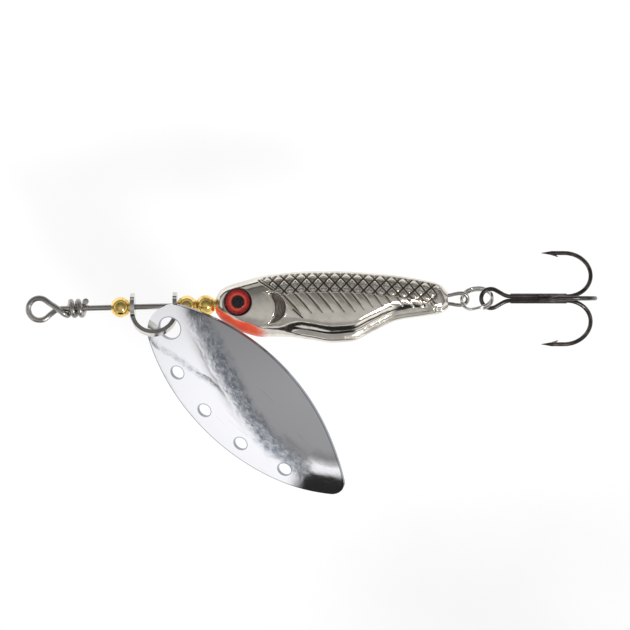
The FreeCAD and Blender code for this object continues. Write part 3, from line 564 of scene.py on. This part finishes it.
    # groove holds the painted shade of the grooves, throat the share of red paint
    for name, values in (("groove", dark), ("throat", throat)):
        data = np.concatenate([values.reshape(-1), [values[0].mean(), values[-1].mean()]])
        layer = mesh.attributes.new(name, "FLOAT", "POINT")
        layer.data.foreach_set("value", data.astype(np.float32))
    mesh.polygons.foreach_set("use_smooth", np.ones(len(mesh.polygons), bool))
    mesh.update()
    piece = bpy.data.objects.new("casting_skin", mesh)
    bpy.context.scene.collection.objects.link(piece)
    bm = bmesh.new()
    bm.from_mesh(mesh)
    bmesh.ops.recalc_face_normals(bm, faces=bm.faces)
    bm.to_mesh(mesh)
    bm.free()
    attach(piece, "root")
    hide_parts("body_casting")
    return piece


def dress(piece, material):
    if piece.data.materials:
        for i in range(len(piece.data.materials)):
            piece.data.materials[i] = material
    else:
        piece.data.materials.append(material)


steel, strip, blade = wire_finish(), plated_strip(), blade_finish()
foil, lens, hook, brass = foil_finish(), lens_finish(), black_nickel(), brass_finish()
finishes = {
    "shaft_wire": steel, "tail_loop": steel,
    "clevis": strip, "split_ring": strip,
    "blade": blade,
    "front_bead": brass, "rear_bead_1": brass, "rear_bead_2": brass,
    "upper_eye_foil": foil, "lower_eye_foil": foil,
    "upper_eye_lens": lens, "lower_eye_lens": lens,
    "treble_double_hook": hook, "treble_third_hook": hook, "treble_braze": hook,
}
for name, material in finishes.items():
    dress(nodes[name], material)
dress(make_casting(), casting_finish())

# ---------------------------------------------------------------- floor, light and camera


def make_floor():
    """A plain pale floor well below the lure, which shows white and keeps its faint shadow."""
    t = Tree("pale_floor")
    grain = t.noise(60, 3.0, 0.5)
    tone = t.mix(t.ramp(grain, 0.3, 0.7), colour(0.5, 0.5, 0.5), colour(0.485, 0.485, 0.485))
    diffuse = t.add("ShaderNodeBsdfDiffuse")
    t.put(diffuse.inputs["Color"], tone)
    glow = t.add("ShaderNodeEmission")
    path = t.add("ShaderNodeLightPath")
    seen = t.math("MAXIMUM", path.outputs["Is Camera Ray"], path.outputs["Is Glossy Ray"])
    seen = t.math("MAXIMUM", seen, path.outputs["Is Transmission Ray"])
    t.put(glow.inputs["Strength"], t.math("MULTIPLY", seen, 0.56))
    both = t.add("ShaderNodeAddShader")
    t.put(both.inputs[0], diffuse.outputs[0])
    t.put(both.inputs[1], glow.outputs[0])
    t.put(t.out.inputs[0], both.outputs[0])
    low, reach = cad_low.z - FLOOR_DROP * MM, FLOOR_REACH * MM
    corners = [(x * reach, y * reach, low) for x, y in ((-1, -1), (1, -1), (1, 1), (-1, 1))]
    mesh = bpy.data.meshes.new("floor")
    mesh.from_pydata(corners, [], [(0, 1, 2, 3)])
    floor = bpy.data.objects.new("floor", mesh)
    bpy.context.scene.collection.objects.link(floor)
    dress(floor, t.material)


make_floor()


def make_world():
    """A studio round the lure: a gray ceiling, a bright band of soft boxes and a dark horizon."""
    world = bpy.data.worlds.new("studio")
    bpy.context.scene.world = world
    world.use_nodes = True
    tree = world.node_tree
    tree.nodes.clear()
    out = tree.nodes.new("ShaderNodeOutputWorld")
    back = tree.nodes.new("ShaderNodeBackground")
    coord = tree.nodes.new("ShaderNodeTexCoord")
    split = tree.nodes.new("ShaderNodeSeparateXYZ")
    link = tree.links.new
    link(coord.outputs["Generated"], split.inputs[0])

    def number(kind, a, b):
        node = tree.nodes.new("ShaderNodeMath")
        node.operation = kind
        for socket, value in zip(node.inputs, (a, b)):
            if isinstance(value, bpy.types.NodeSocket):
                link(value, socket)
            else:
                socket.default_value = value
        return node.outputs[0]

    def smooth(value, low, high, start=0.0, end=1.0):
        node = tree.nodes.new("ShaderNodeMapRange")
        node.interpolation_type = "SMOOTHSTEP"
        link(value, node.inputs["Value"])
        for name, given in zip(RANGE_SOCKETS, (low, high, start, end)):
            node.inputs[name].default_value = given
        return node.outputs[0]

    def bands(stops):
        """Gray levels from the horizon, 0, to straight up, 1."""
        ramp = tree.nodes.new("ShaderNodeValToRGB")
        ramp.color_ramp.interpolation = "LINEAR"
        ramp.color_ramp.elements[0].position = stops[0][0]
        ramp.color_ramp.elements[1].position = stops[-1][0]
        for place, _ in stops[1:-1]:
            ramp.color_ramp.elements.new(place)
        for element, (place, value) in zip(ramp.color_ramp.elements, stops):
            element.position = place
            element.color = (value, value, value, 1)
        link(split.outputs[2], ramp.inputs[0])
        return ramp.outputs[0]

    ceiling = [(0.84, 0.38), (0.92, 0.56), (1.0, 0.6)]
    boxes = bands([
        (0.0, 0.02), (0.13, 0.02), (0.19, 1.1), (0.43, 1.15), (0.47, 0.95), (0.505, 0.12),
        (0.545, 0.13), (0.605, 0.35),
    ] + ceiling)
    # Towards the front of the lure the soft boxes start higher, above a dark gap
    gap = bands([
        (0.0, 0.02), (0.475, 0.025), (0.5, 0.95), (0.54, 1.15), (0.56, 0.6), (0.6, 0.24), (0.65, 0.36),
    ] + ceiling)
    flat = number("SQRT", number("ADD", number("MULTIPLY", split.outputs[0], split.outputs[0]),
                                 number("MULTIPLY", split.outputs[1], split.outputs[1])), 0.0)
    turn = number("DIVIDE", split.outputs[0], number("ADD", flat, 0.0001))
    facing = number("MULTIPLY", smooth(turn, -0.5, -0.38), smooth(turn, 0.44, 0.3))
    facing = number("MULTIPLY", facing, smooth(split.outputs[1], 0.05, -0.05))
    mix = tree.nodes.new("ShaderNodeMix")
    mix.data_type = "RGBA"
    link(facing, mix.inputs[0])
    link(boxes, mix.inputs[6])
    link(gap, mix.inputs[7])
    link(mix.outputs[2], back.inputs["Color"])
    link(smooth(split.outputs[1], -0.4, 0.6, 1.0, 0.5), back.inputs["Strength"])
    link(back.outputs[0], out.inputs[0])


make_world()


def area_light(name, place, aim, width, height, watts):
    light = bpy.data.lights.new(name, "AREA")
    light.shape, light.size, light.size_y, light.energy = "RECTANGLE", width, height, watts
    holder = bpy.data.objects.new(name, light)
    holder.location = place
    holder.rotation_euler = (Vector(aim) - Vector(place)).to_track_quat("-Z", "Y").to_euler()
    bpy.context.scene.collection.objects.link(holder)
    return holder


key = area_light("key", (-0.25, 0.4, 0.3), (0.04, 0, 0), 0.3, 0.2, 2.4)
key.visible_glossy = False
area_light("fill", (0.3, -0.28, 0.42), (0.04, 0, 0), 0.1, 0.1, 0.9)

camera = bpy.data.cameras.new("camera")
camera.lens, camera.sensor_width = CAMERA_LENS, CAMERA_SENSOR
camera.clip_start, camera.clip_end = 0.01, 10
holder = bpy.data.objects.new("camera", camera)
holder.location = Vector(CAMERA_PLACE) * MM
holder.rotation_euler = (0, 0, -math.radians(CAMERA_ROLL))
bpy.context.scene.collection.objects.link(holder)
bpy.context.scene.camera = holder
bpy.context.scene.view_settings.view_transform = "Standard"
